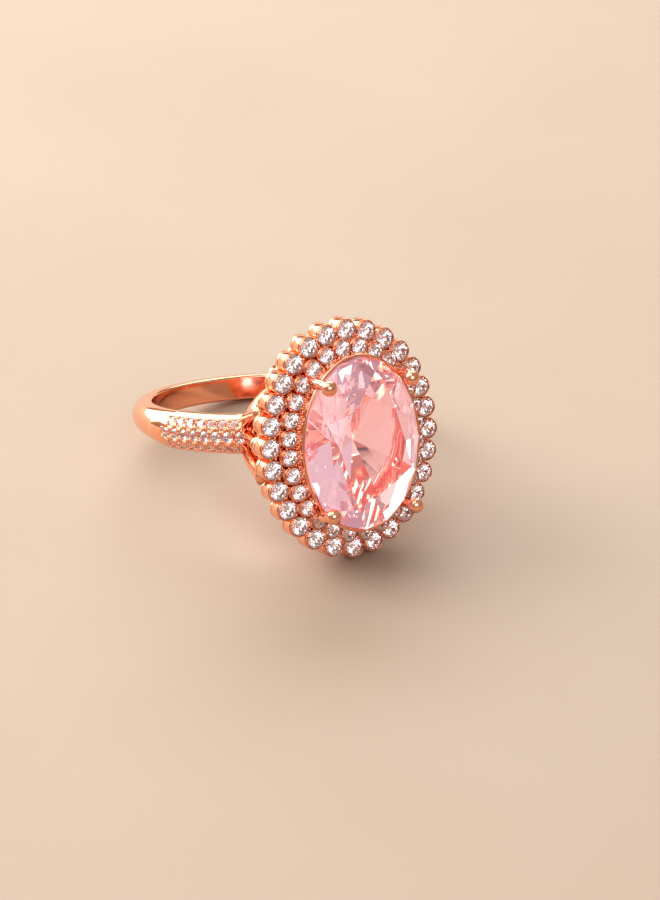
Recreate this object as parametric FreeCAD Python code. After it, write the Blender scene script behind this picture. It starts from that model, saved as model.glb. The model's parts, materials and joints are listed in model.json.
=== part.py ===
import FreeCAD, Part
import math
import os

# Cocktail ring with an oval centre stone, a double scalloped halo and pave shoulders.
# All sizes are in millimetres.
#
# The ring is built in its own axes first: X is the head's normal, Z is the finger's axis and
# the origin is the centre of the finger hole. It is then laid down as it rests on a table.

V = FreeCAD.Vector
X_AXIS = V(1, 0, 0)
Y_AXIS = V(0, 1, 0)
Z_AXIS = V(0, 0, 1)

# Finger size and shank
finger_radius = 9.68            # US size 9.5, 19.35 mm across
shank_thickness = 1.70
shank_side_height = 0.70        # straight side wall of the D-shaped section
shank_width_back = 2.05
shank_width_head = 3.40
shank_end_angle = 33.0          # where the shank stops, each side of the head's normal
shank_sections = 17
bore_allowance = 0.50           # extra metal inside the shank before the finger hole is bored

# Head heights along X
halo_plane = 14.80              # girdle plane of the outer halo stones
inner_halo_rise = 0.78          # inner halo girdles above the outer ones
centre_girdle_rise = 2.10       # centre stone's girdle above the outer halo's

# Centre stone, a 14 x 10 mm oval
centre_half_y = 5.00
centre_half_z = 7.00
centre_girdle = 0.30
centre_crown = 1.90
centre_pavilion = 3.90
centre_table_ratio = 0.58
centre_culet_ratio = 0.06

# Halo rows: stones are spaced evenly along an ellipse
halo_count = 28
outer_half_y = 7.00
outer_half_z = 8.86
outer_stone_radius = 0.75
outer_cup_radius = 0.91
outer_lip_radius = 0.89
outer_cup_depth = 1.50
inner_half_y = 5.68
inner_half_z = 7.62
inner_stone_radius = 0.63
inner_cup_radius = 0.77
inner_cup_depth = 1.10
lip_height = 0.20               # cup rim above the stones' girdles
lip_step = 0.45                 # depth of the narrower lip at the cup's top
tier_plate = 0.55               # plate that joins the cups of a row

# Gallery rail, a smooth oval band behind the outer cups, measured from their centres
rail_overhang = 0.30
rail_inset = 0.55
rail_height = 0.55

# Collet that holds the centre stone, and the bridge over the finger
collet_wall = 0.55
collet_foot_half_y = 4.00
collet_foot_half_z = 5.20
collet_rim = 0.30               # rim width around the centre stone's girdle
collet_lip = 0.10               # rim height above the girdle's lower edge
window_low = 11.35              # gallery windows through the collet's wall, along X
window_high = 12.75
window_width = 2.00
window_angles = (22.5, 67.5, 112.5, 157.5)    # each cuts both sides
bridge_relief = 0.22            # bridge underside stands back from the finger
bridge_thickness = 1.00
bridge_half_y = 6.30
bridge_half_z = 5.30
bridge_hole_half_y = 3.30
bridge_hole_half_z = 4.40
cut_length = 20.0               # length of cutting shapes that pass right through the ring
cut_overlap = 0.10              # how far other cutting shapes pass the metal's surface

# Claws
claw_angle = 46.0               # on the girdle ellipse, from Y
claw_wire_radius = 0.46
claw_root_out = 0.05            # start of the wire in the collet's wall, outside the girdle
claw_root_drop = 1.15           # start of the wire below the girdle
claw_bend_drop = 0.30           # the wire stands upright from here below the girdle
claw_bend_rise = 0.75           # to here above it
claw_ball_radius = 0.64
claw_ball_out = 0.22            # ball centre outside the girdle
claw_ball_rise = 2.05           # ball centre above the girdle

# Struts between bridge, shank and rail
strut_radius = 0.55
strut_bite = 0.20               # how far a strut enters the rail
shoulder_strut_angle = 36.0     # where they leave the shank
shoulder_struts = ((0.0, 0.0), (1.05, 2.6), (-1.05, -2.6))    # Z at the shank and at the rail
basket_strut_angles = (40, 90, 140, 220, 270, 320)
basket_foot_half_y = 5.60       # oval of the basket struts' feet on the bridge
basket_foot_half_z = 4.80

# Pave shoulders
pave_start_angle = 34.5
pave_end_angle = 88.0
pave_point_angle = 69.5         # where the panel starts to narrow to its point
pave_height = 0.42
pave_half_width = 1.62
pave_trim_half_width = 1.65     # where the trim towards the point starts
pave_stone_radius = 0.45
pave_first_angle = 37.5
pave_pitch = 1.00               # along the panel's surface
pave_rows = (("upper", 1.0, 7), ("middle", 0.0, 8), ("lower", -1.0, 7))
pave_row_offset = 0.98

# Proportions of a round brilliant, as fractions of its radius
brilliant_table = 0.57
brilliant_crown = 0.32
brilliant_girdle = 0.06
brilliant_pavilion = 0.86
azure_ratio = 0.50              # open hole behind a set stone

# Searches and curves
angle_tolerance = 1e-10         # radians, for the resting tilt
ellipse_steps = 3600            # points used to measure along an ellipse

shank_outer = finger_radius + shank_thickness
centre_girdle_x = halo_plane + centre_girdle_rise
inner_plane = halo_plane + inner_halo_rise
outer_tier_back = halo_plane - outer_cup_depth
rail_back = outer_tier_back - rail_height
pave_crest = shank_outer + pave_height
pave_sagitta = pave_crest - finger_radius - shank_side_height
pave_arch_radius = (pave_half_width ** 2 + pave_sagitta ** 2) / (2 * pave_sagitta)
collet_top = centre_girdle_x + collet_lip
bridge_inner = finger_radius + bridge_relief
bridge_outer = bridge_inner + bridge_thickness


def ellipse_face(half_y, half_z, x):
    """Flat elliptical face at height x, across the head's normal."""
    major = max(half_y, half_z)
    minor = min(half_y, half_z)
    curve = Part.Ellipse(V(0, 0, 0), major, minor)
    edge = curve.toShape()
    if half_z >= half_y:
        edge.rotate(V(0, 0, 0), Z_AXIS, 90)
    edge.rotate(V(0, 0, 0), V(1, 1, 1), 120)
    edge.translate(V(x, 0, 0))
    return Part.Face(Part.Wire(edge))


def oval_prism(half_y, half_z, x_low, x_high):
    return ellipse_face(half_y, half_z, x_low).extrude(V(x_high - x_low, 0, 0))


def oval_frustum(low_y, low_z, x_low, high_y, high_z, x_high):
    low = ellipse_face(low_y, low_z, x_low).OuterWire
    high = ellipse_face(high_y, high_z, x_high).OuterWire
    return Part.makeLoft([low, high], True, True)


def even_points(half_y, half_z, count, offset):
    """Points spaced evenly along an ellipse, counted from its +Z end, as (y, z) pairs."""
    lengths = [0.0]
    last = (0.0, half_z)
    for i in range(1, ellipse_steps + 1):
        a = 2 * math.pi * i / ellipse_steps
        here = (half_y * math.sin(a), half_z * math.cos(a))
        lengths.append(lengths[-1] + math.hypot(here[0] - last[0], here[1] - last[1]))
        last = here
    points = []
    i = 0
    for k in range(count):
        target = lengths[-1] * (k + offset) / count
        while lengths[i] < target:
            i += 1
        a = 2 * math.pi * i / ellipse_steps
        points.append((half_y * math.sin(a), half_z * math.cos(a)))
    return points


def brilliant(radius):
    """Round stone about +Z with its girdle's lower edge at Z = 0."""
    top = radius * (brilliant_girdle + brilliant_crown)
    outline = [
        V(0, 0, -radius * brilliant_pavilion),
        V(radius, 0, 0),
        V(radius, 0, radius * brilliant_girdle),
        V(radius * brilliant_table, 0, top),
        V(0, 0, top),
    ]
    wire = Part.makePolygon(outline + outline[:1])
    return Part.Face(wire).revolve(V(0, 0, 0), Z_AXIS, 360)


def seat_tool(radius, depth):
    """Space that a set stone needs: the stone, the room above it and the hole behind it."""
    above = Part.makeCylinder(radius, radius, V(0, 0, 0), Z_AXIS)
    behind = Part.makeCylinder(radius * azure_ratio, depth, V(0, 0, -depth), Z_AXIS)
    return brilliant(radius).fuse([above, behind]).removeSplitter()


def aimed(shape, point, direction):
    """Copy of a shape built about +Z, turned to a direction and moved to a point."""
    copy = shape.copy()
    copy.Placement = FreeCAD.Placement(point, FreeCAD.Rotation(Z_AXIS, direction))
    return copy


def finger_cylinder(radius):
    """Cylinder along the finger, longer than the ring is wide."""
    return Part.makeCylinder(radius, cut_length, V(0, 0, -cut_length / 2), Z_AXIS)


def rod(start, end, radius):
    line = end - start
    return Part.makeCylinder(radius, line.Length, start, line)


def one_solid(shape):
    """The single solid inside a boolean result, after merging its split faces."""
    solids = shape.removeSplitter().Solids
    if len(solids) != 1:
        raise ValueError("expected one solid, got %d" % len(solids))
    return solids[0]


def make_shank():
    wires = []
    for i in range(shank_sections):
        share = i / (shank_sections - 1)
        angle = math.radians(shank_end_angle + (360 - 2 * shank_end_angle) * share)
        lean = (math.cos(angle) + 1) / 2
        half = (shank_width_back + (shank_width_head - shank_width_back) * lean) / 2
        out = V(math.cos(angle), math.sin(angle), 0)
        inner = finger_radius - bore_allowance
        wall = finger_radius + shank_side_height
        low_in = out * inner - Z_AXIS * half
        low_out = out * wall - Z_AXIS * half
        high_out = out * wall + Z_AXIS * half
        high_in = out * inner + Z_AXIS * half
        edges = [
            Part.LineSegment(low_in, low_out).toShape(),
            Part.Arc(low_out, out * shank_outer, high_out).toShape(),
            Part.LineSegment(high_out, high_in).toShape(),
            Part.LineSegment(high_in, low_in).toShape(),
        ]
        wires.append(Part.Wire(edges))
    body = Part.makeLoft(wires, True, False)
    return one_solid(body.cut(finger_cylinder(finger_radius)))


def pave_section():
    """Arched section of a shoulder panel in the XZ plane."""
    wall = finger_radius + shank_side_height
    low = V(wall, 0, -pave_half_width)
    high = V(wall, 0, pave_half_width)
    crest = V(pave_crest, 0, 0)
    return Part.Face(Part.Wire([
        Part.Arc(low, crest, high).toShape(),
        Part.LineSegment(high, low).toShape(),
    ]))


def make_pave_panel(side, shank, seats):
    section = pave_section()
    section.rotate(V(0, 0, 0), Z_AXIS, side * pave_start_angle)
    panel = section.revolve(V(0, 0, 0), Z_AXIS, side * (pave_end_angle - pave_start_angle))
    middle = math.radians(side * pave_point_angle)
    run = math.radians(pave_end_angle - pave_point_angle) * shank_outer
    out = V(math.cos(middle), math.sin(middle), 0)
    along = V(-side * math.sin(middle), side * math.cos(middle), 0)
    base = out * finger_radius
    for up in (1, -1):
        edge = Z_AXIS * up * pave_trim_half_width
        corners = [
            base + edge,
            base + along * run,
            base + along * run * 2,
            base + along * run * 2 + edge * 2,
            base + edge * 2,
        ]
        wedge = Part.Face(Part.makePolygon(corners + corners[:1])).extrude(base)
        panel = panel.cut(wedge)
    panel = panel.cut(shank)
    return one_solid(panel.cut(seats))


def pave_places(side, row_offset, count):
    """Point and direction of each stone in one row of a shoulder."""
    tilt = row_offset * math.asin(pave_row_offset / pave_arch_radius)
    sink = pave_arch_radius * (1 - math.cos(tilt))
    step = math.degrees(pave_pitch / pave_crest)
    shift = 0.5 if row_offset else 0.0
    places = []
    for k in range(count):
        angle = math.radians(side * (pave_first_angle + step * (k + shift)))
        out = V(math.cos(angle), math.sin(angle), 0)
        normal = out * math.cos(tilt) + Z_AXIS * math.sin(tilt)
        surface = out * (pave_crest - sink) + Z_AXIS * row_offset * pave_row_offset
        depth = pave_stone_radius * (brilliant_crown + brilliant_girdle)
        places.append((surface - normal * depth, normal))
    return places


def make_bridge(hole):
    shell = Part.makeCylinder(bridge_outer, 2 * bridge_half_z, V(0, 0, -bridge_half_z), Z_AXIS,
                              2 * shank_end_angle)
    shell.rotate(V(0, 0, 0), Z_AXIS, -shank_end_angle)
    shell = shell.cut(finger_cylinder(bridge_inner))
    outline = oval_prism(bridge_half_y, bridge_half_z, 0, cut_length)
    return one_solid(shell.common(outline).cut(hole))


def claw_points(side_y, side_z):
    """Path of one claw from the collet's wall to the centre of its ball."""
    a = math.radians(claw_angle)
    y = side_y * centre_half_y * math.cos(a)
    z = side_z * centre_half_z * math.sin(a)
    outward = V(0, y / centre_half_y ** 2, z / centre_half_z ** 2)
    outward.normalize()
    girdle = V(centre_girdle_x, y, z)
    return [
        girdle + outward * claw_root_out - X_AXIS * claw_root_drop,
        girdle + outward * claw_wire_radius - X_AXIS * claw_bend_drop,
        girdle + outward * claw_wire_radius + X_AXIS * claw_bend_rise,
        girdle + outward * claw_ball_out + X_AXIS * claw_ball_rise,
    ]


def make_claw(side_y, side_z):
    points = claw_points(side_y, side_z)
    pieces = [rod(a, b, claw_wire_radius) for a, b in zip(points, points[1:])]
    joints = [Part.makeSphere(claw_wire_radius, p) for p in points[:-1]]
    ball = Part.makeSphere(claw_ball_radius, points[-1])
    return one_solid(ball.fuse(pieces + joints))


def make_centre_stone():
    top = centre_girdle_x + centre_girdle
    pavilion = oval_frustum(
        centre_half_y * centre_culet_ratio, centre_half_z * centre_culet_ratio,
        centre_girdle_x - centre_pavilion,
        centre_half_y, centre_half_z, centre_girdle_x)
    girdle = oval_prism(centre_half_y, centre_half_z, centre_girdle_x, top)
    crown = oval_frustum(
        centre_half_y, centre_half_z, top,
        centre_half_y * centre_table_ratio, centre_half_z * centre_table_ratio,
        top + centre_crown)
    return one_solid(pavilion.fuse([girdle, crown]))


def make_collet_blank():
    """The collet's outside as a solid oval cone, from the finger hole up to the seat's rim."""
    return oval_frustum(
        collet_foot_half_y, collet_foot_half_z, finger_radius,
        centre_half_y + collet_rim, centre_half_z + collet_rim, collet_top)


def make_collet(blank, stone, claws):
    hollow = oval_frustum(
        collet_foot_half_y - collet_wall, collet_foot_half_z - collet_wall,
        finger_radius - cut_overlap,
        centre_half_y - collet_wall / 2, centre_half_z - collet_wall / 2,
        collet_top + cut_overlap)
    windows = []
    for angle in window_angles:
        window = Part.makeBox(window_high - window_low, cut_length, window_width,
                              V(window_low, -cut_length / 2, -window_width / 2))
        window.rotate(V(0, 0, 0), X_AXIS, angle)
        windows.append(window)
    below = finger_cylinder(bridge_outer)
    return one_solid(blank.cut([hollow, below, stone] + claws + windows))


def make_tier(points, cup_radius, lip_radius, front, back, plate_half, blank, seats):
    """One halo row: a plate around the collet with a cup under each stone."""
    plate = oval_prism(plate_half[0], plate_half[1], back, back + tier_plate)
    cups = []
    for y, z in points:
        cups.append(Part.makeCylinder(cup_radius, front - lip_step - back, V(back, y, z), X_AXIS))
        cups.append(Part.makeCylinder(lip_radius, front - back, V(back, y, z), X_AXIS))
    body = plate.fuse(cups)
    return body.cut([blank] + seats)


def make_rail():
    outer = oval_prism(outer_half_y + rail_overhang, outer_half_z + rail_overhang,
                       rail_back, outer_tier_back)
    inner = oval_prism(outer_half_y - rail_inset, outer_half_z - rail_inset,
                       rail_back - cut_overlap, outer_tier_back + cut_overlap)
    return one_solid(outer.cut(inner))


def make_struts(ends, neighbours):
    struts = []
    for start, end in ends:
        strut = rod(start, end, strut_radius)
        for neighbour in neighbours:
            strut = strut.cut(neighbour)
        struts.append(max(strut.Solids, key=lambda solid: solid.Volume))
    return Part.makeCompound(struts)


def build(outer_points):
    nodes = {}
    inner_points = even_points(inner_half_y, inner_half_z, halo_count, 0.5)

    centre_stone = make_centre_stone()
    claws = {}
    for name, side_y, side_z in (("upper_left", -1, 1), ("upper_right", 1, 1),
                                 ("lower_left", -1, -1), ("lower_right", 1, -1)):
        claws[name] = make_claw(side_y, side_z)
    claw_shapes = list(claws.values())

    shank = make_shank()
    blank = make_collet_blank()
    bridge_hole = oval_prism(bridge_hole_half_y, bridge_hole_half_z, 0, cut_length)
    bridge = make_bridge(bridge_hole)
    collet = make_collet(blank, centre_stone, claw_shapes)
    rail = make_rail()

    inner_seat = seat_tool(inner_stone_radius, inner_cup_depth * 2)
    inner_seats = [aimed(inner_seat, V(inner_plane, y, z), X_AXIS) for y, z in inner_points]
    outer_seat = seat_tool(outer_stone_radius, outer_cup_depth * 2)
    outer_seats = [aimed(outer_seat, V(halo_plane, y, z), X_AXIS) for y, z in outer_points]
    inner_back = inner_plane + lip_height - inner_cup_depth
    inner_tier = make_tier(
        inner_points, inner_cup_radius, inner_cup_radius, inner_plane + lip_height, inner_back,
        (inner_half_y, inner_half_z), blank, inner_seats + claw_shapes)
    inner_envelope = oval_prism(inner_half_y, inner_half_z, inner_back, inner_plane).fuse(
        [Part.makeCylinder(inner_cup_radius, inner_cup_depth, V(inner_back, y, z), X_AXIS)
         for y, z in inner_points])
    outer_tier = make_tier(
        outer_points, outer_cup_radius, outer_lip_radius, halo_plane + lip_height,
        outer_tier_back, (outer_half_y, outer_half_z), blank, outer_seats + [inner_envelope])

    nodes["shank"] = shank
    nodes["finger_bridge"] = bridge
    nodes["centre_collet"] = collet
    nodes["inner_halo_tier"] = one_solid(inner_tier)
    nodes["outer_halo_tier"] = one_solid(outer_tier)
    nodes["gallery_rail"] = rail
    for name, claw in claws.items():
        nodes["claw_" + name] = claw
    nodes["centre_stone"] = centre_stone

    outer_stone = brilliant(outer_stone_radius)
    for k, (y, z) in enumerate(outer_points):
        nodes["outer_halo_stone_%02d" % (k + 1)] = aimed(outer_stone, V(halo_plane, y, z), X_AXIS)
    inner_stone = brilliant(inner_stone_radius)
    quarter = halo_count // 4
    for q, name in enumerate(("upper_right", "lower_right", "lower_left", "upper_left")):
        stones = [aimed(inner_stone, V(inner_plane, y, z), X_AXIS)
                  for y, z in inner_points[q * quarter:(q + 1) * quarter]]
        nodes["inner_halo_stones_" + name] = Part.makeCompound(stones)

    pave_stone = brilliant(pave_stone_radius)
    pave_seat = seat_tool(pave_stone_radius, pave_stone_radius)
    for side_name, side in (("left", -1), ("right", 1)):
        seats = []
        for row_name, row_offset, count in pave_rows:
            places = pave_places(side, row_offset, count)
            seats += [aimed(pave_seat, point, normal) for point, normal in places]
            stones = [aimed(pave_stone, point, normal) for point, normal in places]
            nodes["%s_shoulder_stones_%s" % (side_name, row_name)] = Part.makeCompound(stones)
        nodes["%s_shoulder_panel" % side_name] = make_pave_panel(side, shank, seats)
        nodes["shank"] = one_solid(nodes["shank"].cut(seats))

    solid_metal = [nodes["shank"], bridge, collet, rail,
                   nodes["left_shoulder_panel"], nodes["right_shoulder_panel"]]
    strut_top = rail_back + strut_bite
    end = math.radians(shoulder_strut_angle)
    for side_name, side in (("left", -1), ("right", 1)):
        foot = V(math.cos(end), side * math.sin(end), 0) * (finger_radius + shank_thickness / 2)
        ends = []
        for z_foot, z_head in shoulder_struts:
            y_head = outer_half_y * math.sqrt(1 - (z_head / outer_half_z) ** 2)
            head = V(strut_top, side * y_head, z_head)
            ends.append((foot + Z_AXIS * z_foot, head))
        nodes["%s_shoulder_struts" % side_name] = make_struts(ends, solid_metal)
    ends = []
    for degrees in basket_strut_angles:
        a = math.radians(degrees)
        foot_y = basket_foot_half_y * math.cos(a)
        foot_z = basket_foot_half_z * math.sin(a)
        foot_x = math.sqrt(((bridge_inner + bridge_outer) / 2) ** 2 - foot_y ** 2)
        head = V(strut_top, outer_half_y * math.cos(a), outer_half_z * math.sin(a))
        ends.append((V(foot_x, foot_y, foot_z), head))
    nodes["basket_struts"] = make_struts(ends, solid_metal)
    return nodes


def rest_axes(outer_points):
    """Directions of the table's X, Y and Z in the ring's axes, for the ring at rest.

    The ring lies on the back edges of the two lowest neighbouring cups and on the shank's
    lower back edge. The table's X is the direction the head faces, seen from above."""
    lowest = outer_points[halo_count // 2]
    beside = outer_points[halo_count // 2 - 1]
    roll = math.atan2(beside[1] - lowest[1], beside[0] - lowest[0])
    half = shank_width_back / 2
    crown = shank_thickness - shank_side_height
    arch = (half ** 2 + crown ** 2) / (2 * crown)

    def up_at(tilt):
        return V(math.sin(tilt), -math.sin(roll) * math.cos(tilt),
                 math.cos(roll) * math.cos(tilt))

    def head_reach(up):
        centre = V(outer_tier_back, lowest[0], lowest[1])
        return outer_cup_radius * math.hypot(up.y, up.z) - centre.dot(up)

    def shank_reach(up):
        edge = (finger_radius + shank_side_height) * math.hypot(up.x, up.y) + half * up.z
        return max(edge, (shank_outer - arch) * math.hypot(up.x, up.y) + arch)

    low = 0.0
    high = math.pi / 4
    while high - low > angle_tolerance:
        middle = (low + high) / 2
        if head_reach(up_at(middle)) > shank_reach(up_at(middle)):
            low = middle
        else:
            high = middle
    print("tilt %.3f roll %.3f degrees" % (math.degrees(low), math.degrees(roll)))
    up = up_at(low)
    facing = (X_AXIS - up * X_AXIS.dot(up)).normalize()
    return facing, up.cross(facing), up


def lay_down(nodes, axes):
    """Turn the ring to its resting pose and put the middle of its base at the origin."""
    facing, across, up = axes
    turn = FreeCAD.Rotation(facing, across, up, "XYZ").inverted()
    for shape in nodes.values():
        shape.rotate(V(0, 0, 0), turn.Axis, math.degrees(turn.Angle))
    box = Part.makeCompound(list(nodes.values())).optimalBoundingBox(False)
    shift = V(-(box.XMin + box.XMax) / 2, -(box.YMin + box.YMax) / 2, -box.ZMin)
    for shape in nodes.values():
        shape.translate(shift)
    print("box %.2f x %.2f x %.2f" % (box.XLength, box.YLength, box.ZLength))
    print("finger hole centre %.4f %.4f %.4f" % tuple(shift))
    print("finger hole axis %.7f %.7f %.7f" % tuple(turn.multVec(Z_AXIS)))
    print("head normal %.7f %.7f %.7f" % tuple(turn.multVec(X_AXIS)))


def main():
    os.makedirs("parts", exist_ok=True)
    outer_points = even_points(outer_half_y, outer_half_z, halo_count, 0.0)
    nodes = build(outer_points)
    lay_down(nodes, rest_axes(outer_points))
    for name, shape in nodes.items():
        if not shape.isValid():
            print("not valid:", name)
        shape.exportStep("parts/%s.step" % name)
        print("%-30s solids %2d volume %8.3f" % (name, len(shape.Solids), shape.Volume))


main()
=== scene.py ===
import json
import math

import bmesh
import bpy
from mathutils import Matrix, Vector


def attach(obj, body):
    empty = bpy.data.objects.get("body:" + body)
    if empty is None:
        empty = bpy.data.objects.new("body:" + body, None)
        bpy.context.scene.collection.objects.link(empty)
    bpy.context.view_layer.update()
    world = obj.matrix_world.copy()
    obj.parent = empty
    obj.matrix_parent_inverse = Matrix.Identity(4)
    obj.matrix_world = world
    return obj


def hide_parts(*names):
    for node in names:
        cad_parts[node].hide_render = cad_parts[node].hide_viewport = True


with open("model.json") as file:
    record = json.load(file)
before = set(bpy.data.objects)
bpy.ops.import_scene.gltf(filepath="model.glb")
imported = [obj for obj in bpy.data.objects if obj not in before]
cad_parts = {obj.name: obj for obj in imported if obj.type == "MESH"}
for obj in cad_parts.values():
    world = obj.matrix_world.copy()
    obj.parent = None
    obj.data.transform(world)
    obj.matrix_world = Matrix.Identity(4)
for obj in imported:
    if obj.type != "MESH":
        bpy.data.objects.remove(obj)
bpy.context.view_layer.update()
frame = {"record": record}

# The ring is modelled in millimetres in its own axes: X is the head's normal, Y runs across the
# head and Z is the finger's axis, with the origin in the middle of the finger hole.
# The finger_hole mount says where those axes lie in the frame.
MM = 0.001
mount = {m["name"]: m for m in frame["record"]["mounts"]}["finger_hole"]
finger_axis = Vector(mount["axis"]).normalized()
head_axis = Vector((0, 1, 0)).cross(finger_axis).normalized()
across_axis = finger_axis.cross(head_axis)
finger_centre = Vector(mount["pos_m"])
HEAD_UP = Vector((1, 0, 0))
RING_TURN = Matrix((head_axis, across_axis, finger_axis)).transposed().to_4x4()
RING = Matrix.Translation(finger_centre) @ RING_TURN @ Matrix.Scale(MM, 4)

# Shank
finger_radius = mount["dims"]["r_mm"]
shank_thickness = 1.70
shank_side_height = 0.70
shank_width_back = 2.05
shank_width_head = mount["dims"]["length_mm"]
shank_end_angle = 33.0
shank_outer = finger_radius + shank_thickness

# Head heights along X
halo_plane = 14.80              # girdles of the outer halo stones
inner_halo_rise = 0.78
centre_girdle_rise = 2.10
inner_plane = halo_plane + inner_halo_rise
girdle_plane = halo_plane + centre_girdle_rise

# Centre stone
centre_half_y = 5.00
centre_half_z = 7.00
centre_girdle = 0.30
centre_crown = 1.90
centre_pavilion = 3.90
centre_table = 0.58             # widths and depths as fractions of the stone's half size
centre_star = 0.79
centre_lower = 0.20

# Small round stones, as fractions of their radius
round_table = 0.57
round_crown = 0.32
round_girdle = 0.06
round_pavilion = 0.86
round_star = 0.76
round_lower = 0.24
outer_stone_spin = 0.7          # radians between the facets of one stone and the next
inner_stone_spin = 0.9
pave_stone_spin = 0.6

# Halo rows
halo_count = 28
outer_half_y = 7.00
outer_half_z = 8.86
inner_half_y = 5.68
inner_half_z = 7.62
outer_stone = 0.75
inner_stone = 0.63
outer_cup = 0.91
outer_lip = 0.89
inner_cup = 0.77
outer_depth = 1.50
inner_depth = 1.10
lip_height = 0.20               # rim of a cup above the girdles, as the depths count it
lip_rise = 0.15                 # polished rim above the girdles
azure_ratio = 0.50              # open hole behind a stone
seat_ratio = 0.72               # depth of the seat's cone
groove_gap = 0.04               # shadow groove between a stone's edge and the lip
cup_line_at = 0.34              # fine line round an outer cup, from its back
cup_line_in = 0.06
tier_plate = 0.55
outer_back = halo_plane - outer_depth
inner_back = inner_plane + lip_height - inner_depth

# Grain beads of the halo
grain_radius = 0.13
small_grain_radius = 0.10
outer_grains = ((0.06, -0.34), (-0.02, 0.10))    # rise above the girdles, reach from mid-cup
inner_grains = ((0.08, -0.36), (0.08, 0.30))
collet_rows = ((0.36, -0.50, 0.0), (0.66, -0.46, 0.5))    # rise, reach, shift along the row
collet_row_count = 96

# Gallery rail behind the outer cups
rail_overhang = 0.30
rail_inset = 0.55
rail_height = 0.55
rail_rounding = 0.20
rail_back = outer_back - rail_height

# Bridge
bridge_relief = 0.22
bridge_thickness = 1.00
bridge_inner = finger_radius + bridge_relief
bridge_outer = bridge_inner + bridge_thickness
bridge_half_y = 6.30
bridge_half_z = 5.30
bridge_hole_y = 3.30
bridge_hole_z = 4.40
bridge_rounding = 0.14          # as a fraction of its section

# Struts between bridge, shank and rail
strut_steps = 14
strut_bite = 0.30               # how far a strut enters the rail
shoulder_strut_angle = shank_end_angle + 2
shoulder_strut_root = 0.95      # feet of the shoulder struts, outside the finger hole
shoulder_struts = ((0, 0), (1.05, 2.6), (-1.05, -2.6))    # Z at the shank and at the rail
shoulder_strut_radius = 0.54
shoulder_strut_flare = 0.22     # extra radius at both ends
basket_strut_angles = (40, 90, 140, 220, 270, 320)
basket_foot_y = 5.40
basket_foot_z = 4.70
basket_strut_radius = 0.40
basket_strut_flare = 0.25

# Collet and the gallery windows through its wall
collet_rim = 0.22
collet_lip = 0.10
collet_top = girdle_plane + collet_lip
collet_foot = bridge_outer - 0.60
window_low = 11.35
window_high = 12.75
window_width = 2.00
window_rounding = 0.35
window_reach = 12               # half length of the cutting bars
window_angles = (22.5, 67.5, 112.5, 157.5)

# Claws
claw_angle = 46.0
claw_wire = 0.46
claw_root_ratio = 1.05          # size of the wire at its root, as a fraction of claw_wire
claw_taper = 0.25               # part of the radius lost by the time it meets the ball
claw_curve = ((0.02, -1.5), (0.45, -0.9), (0.80, 0.3), (0.62, 1.2))    # outward, above girdle
claw_steps = 22
claw_ball = 0.64
claw_ball_out = 0.22
claw_ball_rise = 2.05

# Pave shoulders
pave_start = 34.5
pave_end = 88.0
pave_taper = 69.5               # where the panel starts to narrow to its point
pave_height = 0.42
pave_crest = shank_outer + pave_height
pave_half_width = 1.62
pave_stone = 0.45
pave_first = 37.5
pave_pitch = 1.00
pave_row_offset = 0.98
pave_rows = (("upper", 1, 7), ("middle", 0, 8), ("lower", -1, 7))
pave_sink = pave_stone * 0.30   # stones' girdles below the panel's surface
pave_bead = 0.13
pave_bead_along = 0.39          # four beads round each stone
pave_bead_beside = 0.368
pave_bead_sink = 0.06
pave_end_sink = 0.06            # panel's crest below the shank's where the panel fades out
pave_root = 0.30                # how far the panel reaches into the shank
pave_seat_outline = (           # radius and height of the cutter for one seat
    (0, -pave_stone * 0.90),
    (pave_stone * 0.35, -pave_stone * 0.90),
    (pave_stone * 0.45, -pave_stone * 0.75),
    (pave_stone * 1.02, -0.06),
    (pave_stone * 1.10, 0.30),
    (0, 0.30),
)
pave_foot = finger_radius + shank_side_height
pave_sagitta = pave_crest - pave_foot
pave_arch = (pave_half_width ** 2 + pave_sagitta ** 2) / (2 * pave_sagitta)


# ---------------------------------------------------------------- mesh helpers

def mesh_object(name, verts, faces, smooth=True):
    """Mesh given in ring millimetres, moved to the frame, with its normals turned outward."""
    mesh = bpy.data.meshes.new(name)
    mesh.from_pydata([tuple(v) for v in verts], [], faces)
    mesh.transform(RING)
    bm = bmesh.new()
    bm.from_mesh(mesh)
    bmesh.ops.recalc_face_normals(bm, faces=bm.faces)
    bm.to_mesh(mesh)
    bm.free()
    mesh.polygons.foreach_set("use_smooth", [smooth] * len(mesh.polygons))
    obj = bpy.data.objects.new(name, mesh)
    bpy.context.scene.collection.objects.link(obj)
    return obj


class Pile:
    """Collects closed pieces of one part, in ring millimetres, and joins them in one mesh."""

    def __init__(self):
        self.verts = []
        self.faces = []

    def add(self, verts, faces, matrix=None):
        base = len(self.verts)
        if matrix is not None:
            verts = [matrix @ Vector(v) for v in verts]
        self.verts += verts
        self.faces += [tuple(base + i for i in face) for face in faces]

    def build(self, name, smooth=True):
        return mesh_object(name, self.verts, self.faces, smooth)


def loops_to_faces(count, size, closed=True):
    """Quads between consecutive loops of equal size; closed joins the last loop to the first."""
    faces = []
    for i in range(count if closed else count - 1):
        j = (i + 1) % count
        for k in range(size):
            m = (k + 1) % size
            faces.append((i * size + k, i * size + m, j * size + m, j * size + k))
    return faces


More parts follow.
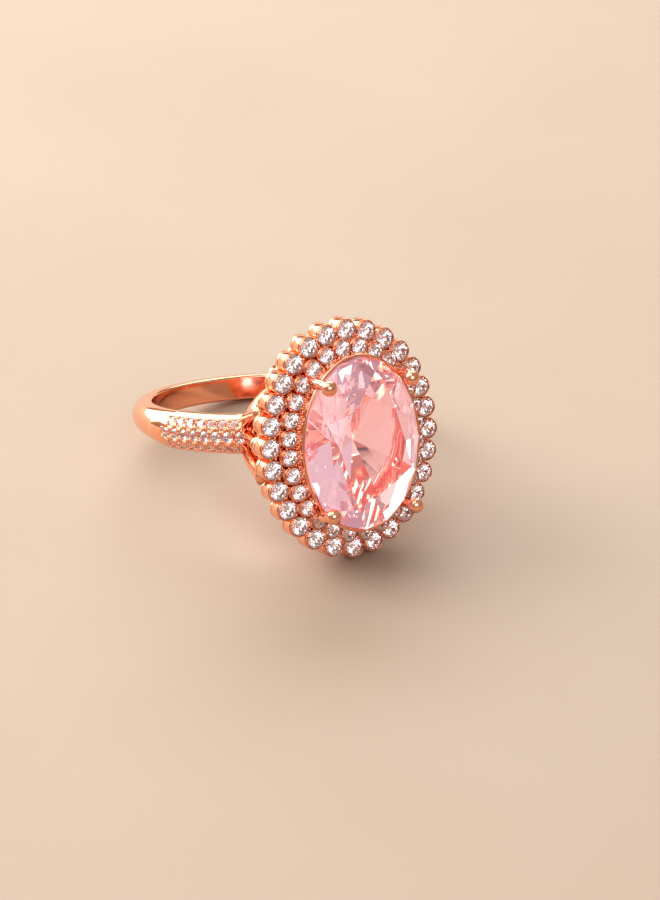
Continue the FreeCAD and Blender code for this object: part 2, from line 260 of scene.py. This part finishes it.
def rounded(corners, radii, steps=4):
    """Closed 2D outline with its corners turned into arcs."""
    points = []
    n = len(corners)
    for i, corner in enumerate(corners):
        r = radii[i] if isinstance(radii, (list, tuple)) else radii
        here = Vector(corner)
        before = Vector(corners[i - 1]) - here
        after = Vector(corners[(i + 1) % n]) - here
        half = before.angle(after) / 2
        cut = min(r / math.tan(half), before.length * 0.45, after.length * 0.45) if r else 0
        if cut < 1e-4:
            points.append(here)
            continue
        a = here + before.normalized() * cut
        b = here + after.normalized() * cut
        r = cut * math.tan(half)
        inward = (before.normalized() + after.normalized()).normalized()
        centre = here + inward * (r / math.sin(half))
        for s in range(steps + 1):
            t = s / steps
            v = (a - centre).lerp(b - centre, t)
            points.append(centre + v.normalized() * r)
    return points


def lathe(outline, segments=40):
    """Turns a closed outline of (radius, height) points about Z."""
    verts = []
    for i in range(segments):
        a = 2 * math.pi * i / segments
        verts += [Vector((r * math.cos(a), r * math.sin(a), h)) for r, h in outline]
    return verts, loops_to_faces(segments, len(outline))


def turned(profile, segments=24):
    """Turns an open profile whose ends lie on the axis into a closed body about Z."""
    middle = profile[1:-1]
    verts = []
    for r, h in middle:
        for i in range(segments):
            a = 2 * math.pi * i / segments
            verts.append(Vector((r * math.cos(a), r * math.sin(a), h)))
    faces = loops_to_faces(len(middle), segments, closed=False)
    first = len(verts)
    verts += [Vector((0, 0, profile[0][1])), Vector((0, 0, profile[-1][1]))]
    last_row = (len(middle) - 1) * segments
    for i in range(segments):
        j = (i + 1) % segments
        faces.append((first, j, i))
        faces.append((first + 1, last_row + i, last_row + j))
    return verts, faces


def ball(radius, segments=16, rings=10):
    profile = [(radius * math.sin(math.pi * i / rings), -radius * math.cos(math.pi * i / rings))
               for i in range(rings + 1)]
    return turned(profile, segments)


def oval_band(outline, half_y, half_z, segments=180):
    """Sweeps a closed outline of (offset, x) points round an ellipse in the head's plane."""
    verts = []
    for i in range(segments):
        a = 2 * math.pi * i / segments
        for offset, x in outline:
            y = (half_y + offset) * math.sin(a)
            z = (half_z + offset) * math.cos(a)
            verts.append(Vector((x, y, z)))
    return verts, loops_to_faces(segments, len(outline))


def aim(point, direction, spin=0.0):
    """Matrix that takes +Z to a direction and the origin to a point."""
    turn = direction.to_track_quat("Z", "Y").to_matrix().to_4x4()
    return Matrix.Translation(point) @ turn @ Matrix.Rotation(spin, 4, "Z")


def tube(path, radii, segments=20):
    """Round body along a path with a radius at each point, closed by its end rings."""
    verts = []
    reference = Vector((0, 0, 1))
    for i, point in enumerate(path):
        ahead = path[min(i + 1, len(path) - 1)] - path[max(i - 1, 0)]
        tangent = ahead.normalized()
        side = tangent.cross(reference)
        if side.length < 1e-3:
            side = tangent.cross(Vector((0, 1, 0)))
        side.normalize()
        up = side.cross(tangent)
        for k in range(segments):
            a = 2 * math.pi * k / segments
            verts.append(point + (side * math.cos(a) + up * math.sin(a)) * radii[i])
    faces = loops_to_faces(len(path), segments, closed=False)
    faces.append(tuple(range(segments)))
    last = (len(path) - 1) * segments
    faces.append(tuple(last + k for k in range(segments)))
    return verts, faces


def bezier(points, steps):
    """Points along a Bezier curve of any order."""
    result = []
    for s in range(steps + 1):
        t = s / steps
        level = [Vector(p) for p in points]
        while len(level) > 1:
            level = [a.lerp(b, t) for a, b in zip(level, level[1:])]
        result.append(level[0])
    return result


def even_points(half_y, half_z, count, offset):
    """Points spaced evenly along an ellipse, counted from its +Z end, as (y, z) pairs."""
    steps = 3600
    lengths = [0.0]
    last = (0.0, half_z)
    for i in range(1, steps + 1):
        a = 2 * math.pi * i / steps
        here = (half_y * math.sin(a), half_z * math.cos(a))
        lengths.append(lengths[-1] + math.hypot(here[0] - last[0], here[1] - last[1]))
        last = here
    points = []
    i = 0
    for k in range(count):
        target = lengths[-1] * (k + offset) / count
        while lengths[i] < target:
            i += 1
        a = 2 * math.pi * i / steps
        points.append((half_y * math.sin(a), half_z * math.cos(a)))
    return points


def carve(obj, cutter):
    """Cuts one mesh out of another and removes the cutter."""
    cut = obj.modifiers.new("cut", "BOOLEAN")
    cut.operation = "DIFFERENCE"
    cut.solver = "EXACT"
    cut.use_self = True
    cut.object = cutter
    evaluated = obj.evaluated_get(bpy.context.evaluated_depsgraph_get())
    done = bpy.data.meshes.new_from_object(evaluated)
    obj.modifiers.clear()
    obj.data = done
    bpy.data.objects.remove(cutter)
    obj.data.materials.clear()
    return obj


def finish_piece(obj, material, slot, *nodes):
    """Gives a piece its material and body, and hides the CAD nodes that it replaces."""
    obj.data.materials.append(material)
    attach(obj, "root")
    if nodes:
        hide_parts(*nodes)


# ---------------------------------------------------------------- stones

def brilliant(table, crown, girdle, pavilion, star, lower, mains=8):
    """Brilliant cut of unit radius about +Z with its girdle's lower edge at Z = 0.

    All facets are flat: star tips lie on the planes of the kite facets beside them."""
    half = math.pi / mains
    top = girdle + crown

    def ring(radius, height, shift):
        return [Vector((radius * math.cos(half * (2 * k + shift)),
                        radius * math.sin(half * (2 * k + shift)), height)) for k in range(mains)]

    star_height = girdle + crown * (1 - star * math.cos(half)) / (1 - table)
    lower_height = -pavilion * (1 - lower * math.cos(half))
    verts = ring(table, top, 0)
    verts += ring(star, star_height, 1)
    verts += ring(1, girdle, 0)
    verts += ring(1, girdle, 1)
    verts += ring(1, 0, 0)
    verts += ring(1, 0, 1)
    verts += ring(lower, lower_height, 1)
    verts.append(Vector((0, 0, -pavilion)))
    # First vertex of each ring: table, stars, girdle's upper edge, its lower edge, lower facets.
    t, s, g, h, gl, hl, w = [i * mains for i in range(7)]
    culet = 7 * mains
    faces = [tuple(range(mains))]
    for k in range(mains):
        n = (k + 1) % mains
        p = (k - 1) % mains
        faces += [
            (t + k, s + k, t + n),
            (t + k, s + p, g + k, s + k),
            (s + k, g + k, h + k),
            (s + k, h + k, g + n),
            (g + k, gl + k, hl + k, h + k),
            (h + k, hl + k, gl + n, g + n),
            (w + k, hl + k, gl + k),
            (w + k, gl + n, hl + k),
            (w + k, gl + k, w + p, culet),
        ]
    return verts, faces


def round_stone(radius):
    verts, faces = brilliant(round_table, round_crown, round_girdle, round_pavilion,
                             round_star, round_lower)
    return [v * radius for v in verts], faces


def make_centre_stone(material):
    verts, faces = brilliant(centre_table, centre_crown, centre_girdle, centre_pavilion,
                             centre_star, centre_lower)
    placed = [Vector((girdle_plane + v.z, v.x * centre_half_y, v.y * centre_half_z))
              for v in verts]
    obj = mesh_object("centre_stone_cut", placed, faces, smooth=False)
    finish_piece(obj, material, "pink_stone", "centre_stone")


def make_halo_stones(material):
    verts, faces = round_stone(outer_stone)
    for k, (y, z) in enumerate(outer_points):
        pile = Pile()
        pile.add(verts, faces, aim(Vector((halo_plane, y, z)), HEAD_UP, outer_stone_spin * k))
        obj = pile.build("outer_halo_stone_cut_%02d" % (k + 1), smooth=False)
        finish_piece(obj, material, "clear_stone", "outer_halo_stone_%02d" % (k + 1))
    verts, faces = round_stone(inner_stone)
    quarter = halo_count // 4
    for q, name in enumerate(("upper_right", "lower_right", "lower_left", "upper_left")):
        pile = Pile()
        for k in range(q * quarter, (q + 1) * quarter):
            y, z = inner_points[k]
            pile.add(verts, faces, aim(Vector((inner_plane, y, z)), HEAD_UP, inner_stone_spin * k))
        obj = pile.build("inner_halo_stones_cut_" + name, smooth=False)
        finish_piece(obj, material, "clear_stone", "inner_halo_stones_" + name)


# ---------------------------------------------------------------- halo tiers

def cup_outline(stone, cup, lip, depth, back_line):
    """Section of one cup: wall, thin chamfered lip, shadow groove, seat and open back."""
    azure = stone * azure_ratio
    groove = stone + groove_gap
    corners = [(cup, -depth, 0.04)]
    if back_line:
        corners += [
            (cup, -depth + cup_line_at, 0.03),
            (cup - cup_line_in, -depth + cup_line_at + 0.03, 0.01),
            (cup - cup_line_in, -depth + cup_line_at + 0.08, 0.01),
            (cup, -depth + cup_line_at + 0.11, 0.03),
        ]
    corners += [
        (cup, -0.08, 0.04),
        (lip, -0.04, 0.01),
        (groove, -0.10, 0.01),
        (groove, 0.02, 0.01),
        (lip - 0.04, 0.04, 0.01),
        (lip - 0.04, lip_rise, 0.03),
        (stone + 0.05, lip_rise, 0.02),
        (stone + 0.01, -0.01, 0.0),
        (azure, -stone * seat_ratio, 0.02),
        (azure, -depth, 0.03),
    ]
    return rounded([Vector(c[:2]) for c in corners], [c[2] for c in corners], 3)


def make_tier(name, points, plane, outline, plate, material):
    pile = Pile()
    verts, faces = lathe(outline)
    for y, z in points:
        pile.add(verts, faces, aim(Vector((plane, y, z)), HEAD_UP))
    pile.add(*oval_band(*plate))
    finish_piece(pile.build(name + "_cups"), material, "rose_gold", name)


def make_tiers(material):
    """Both rows of cups, each on a plate that fills the space up to the collet."""
    plate = rounded([Vector(c) for c in (
        (-1.55, outer_back), (-0.62, outer_back),
        (-0.62, outer_back + tier_plate), (-1.55, outer_back + tier_plate))], 0.05)
    outline = cup_outline(outer_stone, outer_cup, outer_lip, outer_depth, True)
    make_tier("outer_halo_tier", outer_points, halo_plane, outline,
              (plate, outer_half_y, outer_half_z), material)
    plate = rounded([Vector(c) for c in (
        (-0.75, inner_back - 0.3), (-0.52, inner_back - 0.3), (-0.52, inner_plane + 0.02),
        (-0.75, inner_plane + 0.25))], 0.04)
    outline = cup_outline(inner_stone, inner_cup, inner_cup - 0.02, inner_depth - lip_height, False)
    make_tier("inner_halo_tier", inner_points, inner_plane, outline,
              (plate, inner_half_y, inner_half_z), material)


def add_grains(pile, radius, points, plane, places):
    """Beads where neighbouring cups meet, at each (rise, reach) from the middle between them."""
    verts, faces = ball(radius)
    for (y1, z1), (y2, z2) in zip(points, points[1:] + points[:1]):
        y = (y1 + y2) / 2
        z = (z1 + z2) / 2
        for rise, reach in places:
            scale = 1 + reach / math.hypot(y, z)
            pile.add(verts, faces, Matrix.Translation((plane + rise, y * scale, z * scale)))


def make_halo_beads(material):
    """Grain beads between the cups, and two rows of small beads up the collet's wall."""
    grains = Pile()
    add_grains(grains, grain_radius, outer_points, halo_plane, outer_grains)
    add_grains(grains, small_grain_radius, inner_points, inner_plane, inner_grains)
    finish_piece(grains.build("halo_grain_beads"), material, "rose_gold")
    rows = Pile()
    verts, faces = ball(small_grain_radius, 12, 8)
    for rise, reach, shift in collet_rows:
        row = even_points(inner_half_y + reach, inner_half_z + reach, collet_row_count, shift)
        for y, z in row:
            rows.add(verts, faces, Matrix.Translation((inner_plane + rise, y, z)))
    finish_piece(rows.build("collet_bead_rows"), material, "rose_gold")


# ---------------------------------------------------------------- collet, rail, bridge

def make_collet(material):
    """Oval tapered tube: outside wall, thin rim round the girdle, seat and hollow."""
    corners = (
        (-0.95, collet_foot, 0.05),
        (0.02, inner_plane - 0.4, 0.3),
        (collet_rim - 0.02, collet_top - 0.5, 0.1),
        (collet_rim, collet_top, 0.09),
        (0.02, collet_top, 0.05),
        (0.02, girdle_plane, 0.02),
        (-0.35, girdle_plane - 0.35, 0.1),
        (-1.50, collet_foot, 0.05),
    )
    outline = rounded([Vector(c[:2]) for c in corners], [c[2] for c in corners])
    pile = Pile()
    pile.add(*oval_band(outline, centre_half_y, centre_half_z))
    windows = Pile()
    section = rounded([Vector(c) for c in (
        (window_low, -window_width / 2), (window_high, -window_width / 2),
        (window_high, window_width / 2), (window_low, window_width / 2))], window_rounding, 5)
    size = len(section)
    for angle in window_angles:
        turn = Matrix.Rotation(math.radians(angle), 4, "X")
        verts = [turn @ Vector((p.x, reach, p.y))
                 for reach in (-window_reach, window_reach) for p in section]
        faces = loops_to_faces(2, size, closed=False)
        faces += [tuple(range(size)), tuple(range(size, 2 * size))]
        windows.add(verts, faces)
    collet = carve(pile.build("centre_collet_wall"), windows.build("collet_cutter"))
    finish_piece(collet, material, "rose_gold", "centre_collet")


def make_rail(material):
    outline = rounded([Vector(c) for c in (
        (-rail_inset, rail_back), (rail_overhang, rail_back),
        (rail_overhang, outer_back), (-rail_inset, outer_back))], rail_rounding)
    pile = Pile()
    pile.add(*oval_band(outline, outer_half_y, outer_half_z))
    finish_piece(pile.build("gallery_rail_band"), material, "rose_gold", "gallery_rail")


def make_bridge(material):
    """Curved oval plate round a light hole, following the finger's cylinder."""
    segments = 160
    section = rounded([Vector(c) for c in ((0, 0), (1, 0), (1, 1), (0, 1))], bridge_rounding)
    reach = bridge_outer * math.sin(math.radians(shank_end_angle))
    verts = []
    for i in range(segments):
        a = 2 * math.pi * i / segments
        inner = Vector((bridge_hole_y * math.sin(a), bridge_hole_z * math.cos(a)))
        outer = Vector((bridge_half_y * math.sin(a), bridge_half_z * math.cos(a)))
        for s, r in section:
            flat = inner.lerp(outer, s)
            radius = bridge_inner + (bridge_outer - bridge_inner) * r
            y = max(-reach, min(reach, flat.x))
            verts.append(Vector((math.sqrt(radius ** 2 - y ** 2), y, flat.y)))
    pile = Pile()
    pile.add(verts, loops_to_faces(segments, len(section)))
    finish_piece(pile.build("finger_bridge_plate"), material, "rose_gold", "finger_bridge")


def add_strut(pile, start, bend, head, radius, flare):
    """Curved strut that widens towards both ends."""
    path = bezier([start, bend, head], strut_steps)
    radii = [radius + flare * abs(2 * i / strut_steps - 1) ** 3 for i in range(strut_steps + 1)]
    pile.add(*tube(path, radii))


def make_struts(material):
    """Curved gallery arches between the bridge or the shank's ends and the rail."""
    end = math.radians(shoulder_strut_angle)
    strut_top = rail_back + strut_bite
    for name, side in (("left", -1), ("right", 1)):
        pile = Pile()
        foot = Vector((math.cos(end), side * math.sin(end), 0))
        foot *= finger_radius + shoulder_strut_root
        for z_foot, z_head in shoulder_struts:
            y_head = outer_half_y * math.sqrt(1 - (z_head / outer_half_z) ** 2)
            start = foot + Vector((0, 0, z_foot))
            head = Vector((strut_top, side * (y_head + 0.1), z_head))
            bend = Vector((start.x + 1.2, side * (abs(start.y) + 0.6), (z_foot + z_head) / 2))
            add_strut(pile, start, bend, head, shoulder_strut_radius, shoulder_strut_flare)
        finish_piece(pile.build(name + "_shoulder_arches"), material, "rose_gold",
                     name + "_shoulder_struts")
    pile = Pile()
    for degrees in basket_strut_angles:
        a = math.radians(degrees)
        foot_y = basket_foot_y * math.cos(a)
        foot_z = basket_foot_z * math.sin(a)
        foot_x = math.sqrt(((bridge_inner + bridge_outer) / 2) ** 2 - foot_y ** 2)
        start = Vector((foot_x, foot_y, foot_z))
        head = Vector((strut_top, outer_half_y * math.cos(a), outer_half_z * math.sin(a)))
        bend = Vector(((start.x + head.x) / 2 - 0.3, head.y * 0.93, head.z * 0.93))
        add_strut(pile, start, bend, head, basket_strut_radius, basket_strut_flare)
    finish_piece(pile.build("basket_arches"), material, "rose_gold", "basket_struts")


# ---------------------------------------------------------------- claws

def make_claws(material):
    for name, side_y, side_z in (("upper_left", -1, 1), ("upper_right", 1, 1),
                                 ("lower_left", -1, -1), ("lower_right", 1, -1)):
        a = math.radians(claw_angle)
        y = side_y * centre_half_y * math.cos(a)
        z = side_z * centre_half_z * math.sin(a)
        outward = Vector((0, y / centre_half_y ** 2, z / centre_half_z ** 2)).normalized()
        girdle = Vector((girdle_plane, y, z))
        bends = claw_curve + ((claw_ball_out, claw_ball_rise),)
        path = bezier([girdle + outward * out + HEAD_UP * rise for out, rise in bends], claw_steps)
        radii = [claw_wire * (claw_root_ratio - claw_taper * (i / claw_steps))
                 for i in range(claw_steps + 1)]
        pile = Pile()
        pile.add(*tube(path, radii, 24))
        pile.add(*ball(claw_ball, 28, 18), Matrix.Translation(path[-1]))
        finish_piece(pile.build("claw_%s_wire" % name), material, "rose_gold", "claw_" + name)


# ---------------------------------------------------------------- shank and shoulders

def shank_half(angle):
    """Half of the shank's width, largest at the head."""
    lean = (math.cos(angle) + 1) / 2
    return (shank_width_back + (shank_width_head - shank_width_back) * lean) / 2


def shank_section(half):
    """D-shaped section as (radius, z) points with softened edges."""
    wall = finger_radius + shank_side_height
    crown = shank_outer - wall
    arch = (half ** 2 + crown ** 2) / (2 * crown)
    sweep = math.asin(half / arch)
    centre = shank_outer - arch
    points = rounded([Vector((wall, -half)), Vector((finger_radius, -half)),
                      Vector((finger_radius, half)), Vector((wall, half))], [0, 0.22, 0.22, 0], 6)
    points = points[::-1]
    steps = 16
    for i in range(1, steps):
        a = -sweep + 2 * sweep * i / steps
        points.append(Vector((centre + arch * math.cos(a), arch * math.sin(a))))
    return points


def make_shank(material):
    steps = 150
    size = len(shank_section(shank_width_back / 2))
    verts = []
    for i in range(steps + 1):
        angle = math.radians(shank_end_angle + (360 - 2 * shank_end_angle) * i / steps)
        section = shank_section(shank_half(angle))
        for r, z in section:
            verts.append(Vector((r * math.cos(angle), r * math.sin(angle), z)))
    faces = loops_to_faces(steps + 1, size, closed=False)
    faces.append(tuple(range(size)))
    faces.append(tuple(steps * size + k for k in range(size)))
    pile = Pile()
    pile.add(verts, faces)
    finish_piece(pile.build("shank_band"), material, "rose_gold", "shank")


def pave_places(side, row, count):
    """Point on the panel's surface and direction of each stone in one row."""
    tilt = row * math.asin(pave_row_offset / pave_arch)
    sink = pave_arch * (1 - math.cos(tilt))
    step = math.degrees(pave_pitch / pave_crest)
    shift = 0.5 if row else 0.0
    places = []
    for k in range(count):
        angle = math.radians(side * (pave_first + step * (k + shift)))
        out = Vector((math.cos(angle), math.sin(angle), 0))
        normal = out * math.cos(tilt) + Vector((0, 0, math.sin(tilt)))
        surface = out * (pave_crest - sink) + Vector((0, 0, row * pave_row_offset))
        places.append((surface, normal))
    return places


def panel_frame(side, degrees):
    """Half-width and crest of a shoulder panel at an angle; it narrows to a point at its back."""
    share = max(0.0, min(1.0, (pave_end - degrees) / (pave_end - pave_taper)))
    half = pave_half_width * share ** 0.75
    rise = min(1.0, share * 3, 0.2 + (degrees - pave_start) / 2.5)
    low = shank_outer - pave_end_sink
    crest = low + (pave_crest - low) * rise
    return max(half, 0.02), crest


def make_panel(side, name, material):
    """Arched shoulder panel with a seat cut for each stone."""
    steps = 90
    arc_steps = 24
    verts = []
    for i in range(steps + 1):
        degrees = pave_start + (pave_end - pave_start) * i / steps
        angle = math.radians(side * degrees)
        half, crest = panel_frame(side, degrees)
        out = Vector((math.cos(angle), math.sin(angle), 0))
        sweep = math.asin(min(1.0, half / pave_arch))
        inner = pave_foot - pave_root
        verts.append(out * inner + Vector((0, 0, -half)))
        for k in range(arc_steps + 1):
            a = -sweep + 2 * sweep * k / arc_steps
            r = crest - pave_arch * (1 - math.cos(a))
            verts.append(out * r + Vector((0, 0, pave_arch * math.sin(a))))
        verts.append(out * inner + Vector((0, 0, half)))
    size = arc_steps + 3
    faces = loops_to_faces(steps + 1, size, closed=False)
    faces.append(tuple(range(size)))
    faces.append(tuple(steps * size + k for k in range(size)))
    panel = mesh_object(name + "_shoulder_pave", verts, faces)
    cutters = Pile()
    seat = turned(pave_seat_outline, 20)
    for _, row, count in pave_rows:
        for surface, normal in pave_places(side, row, count):
            cutters.add(*seat, aim(surface - normal * pave_sink, normal))
    carve(panel, cutters.build(name + "_cutter"))
    finish_piece(panel, material, "rose_gold", name + "_shoulder_panel")


def make_shoulders(metal, stone):
    verts, faces = round_stone(pave_stone)
    bead_verts, bead_faces = ball(pave_bead, 12, 8)
    for name, side in (("left", -1), ("right", 1)):
        make_panel(side, name, metal)
        beads = Pile()
        for row_name, row, count in pave_rows:
            stones = Pile()
            for k, (surface, normal) in enumerate(pave_places(side, row, count)):
                seat = aim(surface - normal * pave_sink, normal, pave_stone_spin * k)
                stones.add(verts, faces, seat)
                along = Vector((-normal.y, normal.x, 0)).normalized() * pave_bead_along
                beside = normal.cross(along).normalized() * pave_bead_beside
                for f, g in ((1, 1), (-1, 1), (1, -1), (-1, -1)):
                    spot = surface + along * f + beside * g - normal * pave_bead_sink
                    beads.add(bead_verts, bead_faces, Matrix.Translation(spot))
            obj = stones.build("%s_shoulder_stones_cut_%s" % (name, row_name), smooth=False)
            finish_piece(obj, stone, "clear_stone", "%s_shoulder_stones_%s" % (name, row_name))
        finish_piece(beads.build(name + "_shoulder_beads"), metal, "rose_gold")


# ---------------------------------------------------------------- materials

def new_material(name):
    material = bpy.data.materials.new(name)
    material.use_nodes = True
    tree = material.node_tree
    return material, tree, tree.nodes["Principled BSDF"]


def noise_node(tree, scale, detail=3.0, stretch=(1, 1, 1)):
    """Noise in a piece's own coordinates, with its scale in features per metre."""
    where = tree.nodes.new("ShaderNodeTexCoord")
    mapping = tree.nodes.new("ShaderNodeMapping")
    mapping.inputs["Scale"].default_value = stretch
    noise = tree.nodes.new("ShaderNodeTexNoise")
    noise.inputs["Scale"].default_value = scale
    noise.inputs["Detail"].default_value = detail
    tree.links.new(where.outputs["Object"], mapping.inputs["Vector"])
    tree.links.new(mapping.outputs["Vector"], noise.inputs["Vector"])
    return noise


def ramp_node(tree, source, low, high, low_at=0.3, high_at=0.7):
    ramp = tree.nodes.new("ShaderNodeValToRGB")
    ramp.color_ramp.elements[0].position = low_at
    ramp.color_ramp.elements[1].position = high_at
    ramp.color_ramp.elements[0].color = low
    ramp.color_ramp.elements[1].color = high
    tree.links.new(source, ramp.inputs["Fac"])
    return ramp


def rose_gold_material():
    """Polished plated metal: slight tone drift, fine polishing marks and soft orange peel."""
    material, tree, shader = new_material("rose_gold_polish")
    shader.inputs["Metallic"].default_value = 1.0
    tone = noise_node(tree, 400.0, 3.0)
    colour = ramp_node(tree, tone.outputs["Fac"], (0.97, 0.45, 0.28, 1), (1.0, 0.52, 0.35, 1))
    tree.links.new(colour.outputs["Color"], shader.inputs["Base Color"])
    marks = noise_node(tree, 3000.0, 4.0, (1, 0.15, 1))
    rough = ramp_node(tree, marks.outputs["Fac"], (0.07, 0.07, 0.07, 1), (0.16, 0.16, 0.16, 1))
    tree.links.new(rough.outputs["Color"], shader.inputs["Roughness"])
    peel = noise_node(tree, 1200.0, 2.0)
    bump = tree.nodes.new("ShaderNodeBump")
    bump.inputs["Strength"].default_value = 0.05
    bump.inputs["Distance"].default_value = 0.00004
    tree.links.new(peel.outputs["Fac"], bump.inputs["Height"])
    tree.links.new(bump.outputs["Normal"], shader.inputs["Normal"])
    return material


def gem_material(name, ior, low, high, painted_inner_glow):
    """Clear cut stone with a faint drift of colour through its body, and a faint glow in its own
    colour that is painted light, standing in for light bouncing inside the stone.
    """
    material, tree, shader = new_material(name)
    shader.inputs["Roughness"].default_value = 0.0
    shader.inputs["IOR"].default_value = ior
    shader.inputs["Transmission Weight"].default_value = 1.0
    # Painted light: a faint emission in the stone's lower colour stands in for light bouncing
    # inside the stone.
    shader.inputs["Emission Color"].default_value = low
    shader.inputs["Emission Strength"].default_value = painted_inner_glow
    drift = noise_node(tree, 250.0, 1.0)
    colour = ramp_node(tree, drift.outputs["Fac"], low, high)
    tree.links.new(colour.outputs["Color"], shader.inputs["Base Color"])
    return material


def floor_material():
    material, tree, shader = new_material("pale_floor")
    drift = noise_node(tree, 40.0, 4.0)
    colour = ramp_node(tree, drift.outputs["Fac"], (0.45, 0.35, 0.265, 1), (0.47, 0.37, 0.285, 1))
    tree.links.new(colour.outputs["Color"], shader.inputs["Base Color"])
    shader.inputs["Roughness"].default_value = 0.6
    return material


# ---------------------------------------------------------------- studio

def make_floor():
    size = 2.0
    mesh = bpy.data.meshes.new("floor")
    corners = [(-size, -size, 0), (size, -size, 0), (size, size, 0), (-size, size, 0)]
    mesh.from_pydata(corners, [], [(0, 1, 2, 3)])
    floor = bpy.data.objects.new("floor", mesh)
    bpy.context.scene.collection.objects.link(floor)
    mesh.materials.append(floor_material())


def area_light(name, place, target, size, power, colour):
    """Rectangular softbox at a place, facing its target."""
    data = bpy.data.lights.new(name, "AREA")
    data.shape = "RECTANGLE"
    data.size, data.size_y = size
    data.energy = power
    data.color = colour
    light = bpy.data.objects.new(name, data)
    light.location = place
    light.rotation_mode = "QUATERNION"
    light.rotation_quaternion = (Vector(place) - Vector(target)).to_track_quat("Z", "Y")
    bpy.context.scene.collection.objects.link(light)


def make_lights():
    """Softboxes round the ring, in metres and watts, and a warm to pale sky."""
    target = (0.005, 0, 0.01)
    area_light("top_softbox", (-0.08, -0.14, 0.44), target, (0.40, 0.40), 0.6, (1.0, 0.98, 0.95))
    area_light("back_softbox", (-0.37, 0.19, 0.28), target, (0.50, 0.34), 1.6, (1.0, 0.98, 0.95))
    area_light("key_softbox", (-0.26, -0.29, 0.26), target, (0.28, 0.28), 1.1, (1.0, 0.97, 0.93))
    area_light("left_softbox", (-0.45, -0.14, 0.13), target, (0.36, 0.24), 0.9, (1.0, 0.97, 0.94))
    area_light("front_softbox", (0.34, -0.08, 0.28), target, (0.26, 0.22), 0.5, (0.95, 0.90, 1.0))
    world = bpy.data.worlds.new("studio")
    bpy.context.scene.world = world
    world.use_nodes = True
    tree = world.node_tree
    background = tree.nodes["Background"]
    where = tree.nodes.new("ShaderNodeTexCoord")
    split = tree.nodes.new("ShaderNodeSeparateXYZ")
    tree.links.new(where.outputs["Generated"], split.inputs["Vector"])
    ramp = ramp_node(tree, split.outputs["Z"], (0.85, 0.62, 0.46, 1), (1.0, 0.97, 0.95, 1),
                     low_at=0.0, high_at=0.5)
    tree.links.new(ramp.outputs["Color"], background.inputs["Color"])
    background.inputs["Strength"].default_value = 0.42


def make_camera():
    """Camera in ring axes and millimetres: left of the head's normal and a little above it."""
    to_left = math.radians(25.9)
    above = math.radians(11.9)
    roll = math.radians(-2.0)
    distance = 355.0
    view_height = 71.925
    shift_right = 1.55
    shift_up = 0.905
    back = Vector((math.cos(above) * math.cos(to_left), -math.cos(above) * math.sin(to_left),
                   math.sin(above)))
    right = Vector((math.sin(to_left), math.cos(to_left), 0))
    up = back.cross(right)
    turned_right = right * math.cos(roll) + up * math.sin(roll)
    turned_up = up * math.cos(roll) - right * math.sin(roll)
    target = Vector((halo_plane, 0, 0)) - turned_right * shift_right - turned_up * shift_up
    place = target + back * distance
    turn = RING.to_3x3().normalized()
    axes = Matrix((turn @ turned_right, turn @ turned_up, turn @ back)).transposed()
    data = bpy.data.cameras.new("camera")
    data.sensor_width = 36.0
    data.lens = distance / view_height * data.sensor_width
    data.clip_start = 0.01
    data.clip_end = 10.0
    camera = bpy.data.objects.new("camera", data)
    camera.matrix_world = Matrix.Translation(RING @ place) @ axes.to_4x4()
    bpy.context.scene.collection.objects.link(camera)
    bpy.context.scene.camera = camera


# ---------------------------------------------------------------- assembly

outer_points = even_points(outer_half_y, outer_half_z, halo_count, 0.0)
inner_points = even_points(inner_half_y, inner_half_z, halo_count, 0.5)

rose_gold = rose_gold_material()
# The last number for each stone is the strength of its painted inner glow, an emission that stands
# in for light bouncing inside it.
clear_stone = gem_material("clear_stone_cut", 2.1, (0.97, 0.84, 0.85, 1), (1.0, 0.91, 0.91, 1),
                           0.015)
pink_stone = gem_material("pink_stone_cut", 1.54, (1.0, 0.62, 0.70, 1), (1.0, 0.73, 0.80, 1),
                          0.075)

make_shank(rose_gold)
make_shoulders(rose_gold, clear_stone)
make_bridge(rose_gold)
make_struts(rose_gold)
make_rail(rose_gold)
make_collet(rose_gold)
make_tiers(rose_gold)
make_halo_beads(rose_gold)
make_claws(rose_gold)
make_centre_stone(pink_stone)
make_halo_stones(clear_stone)

make_floor()
make_lights()
make_camera()
bpy.context.scene.view_settings.view_transform = "Standard"
bpy.context.scene.view_settings.look = "Medium High Contrast"
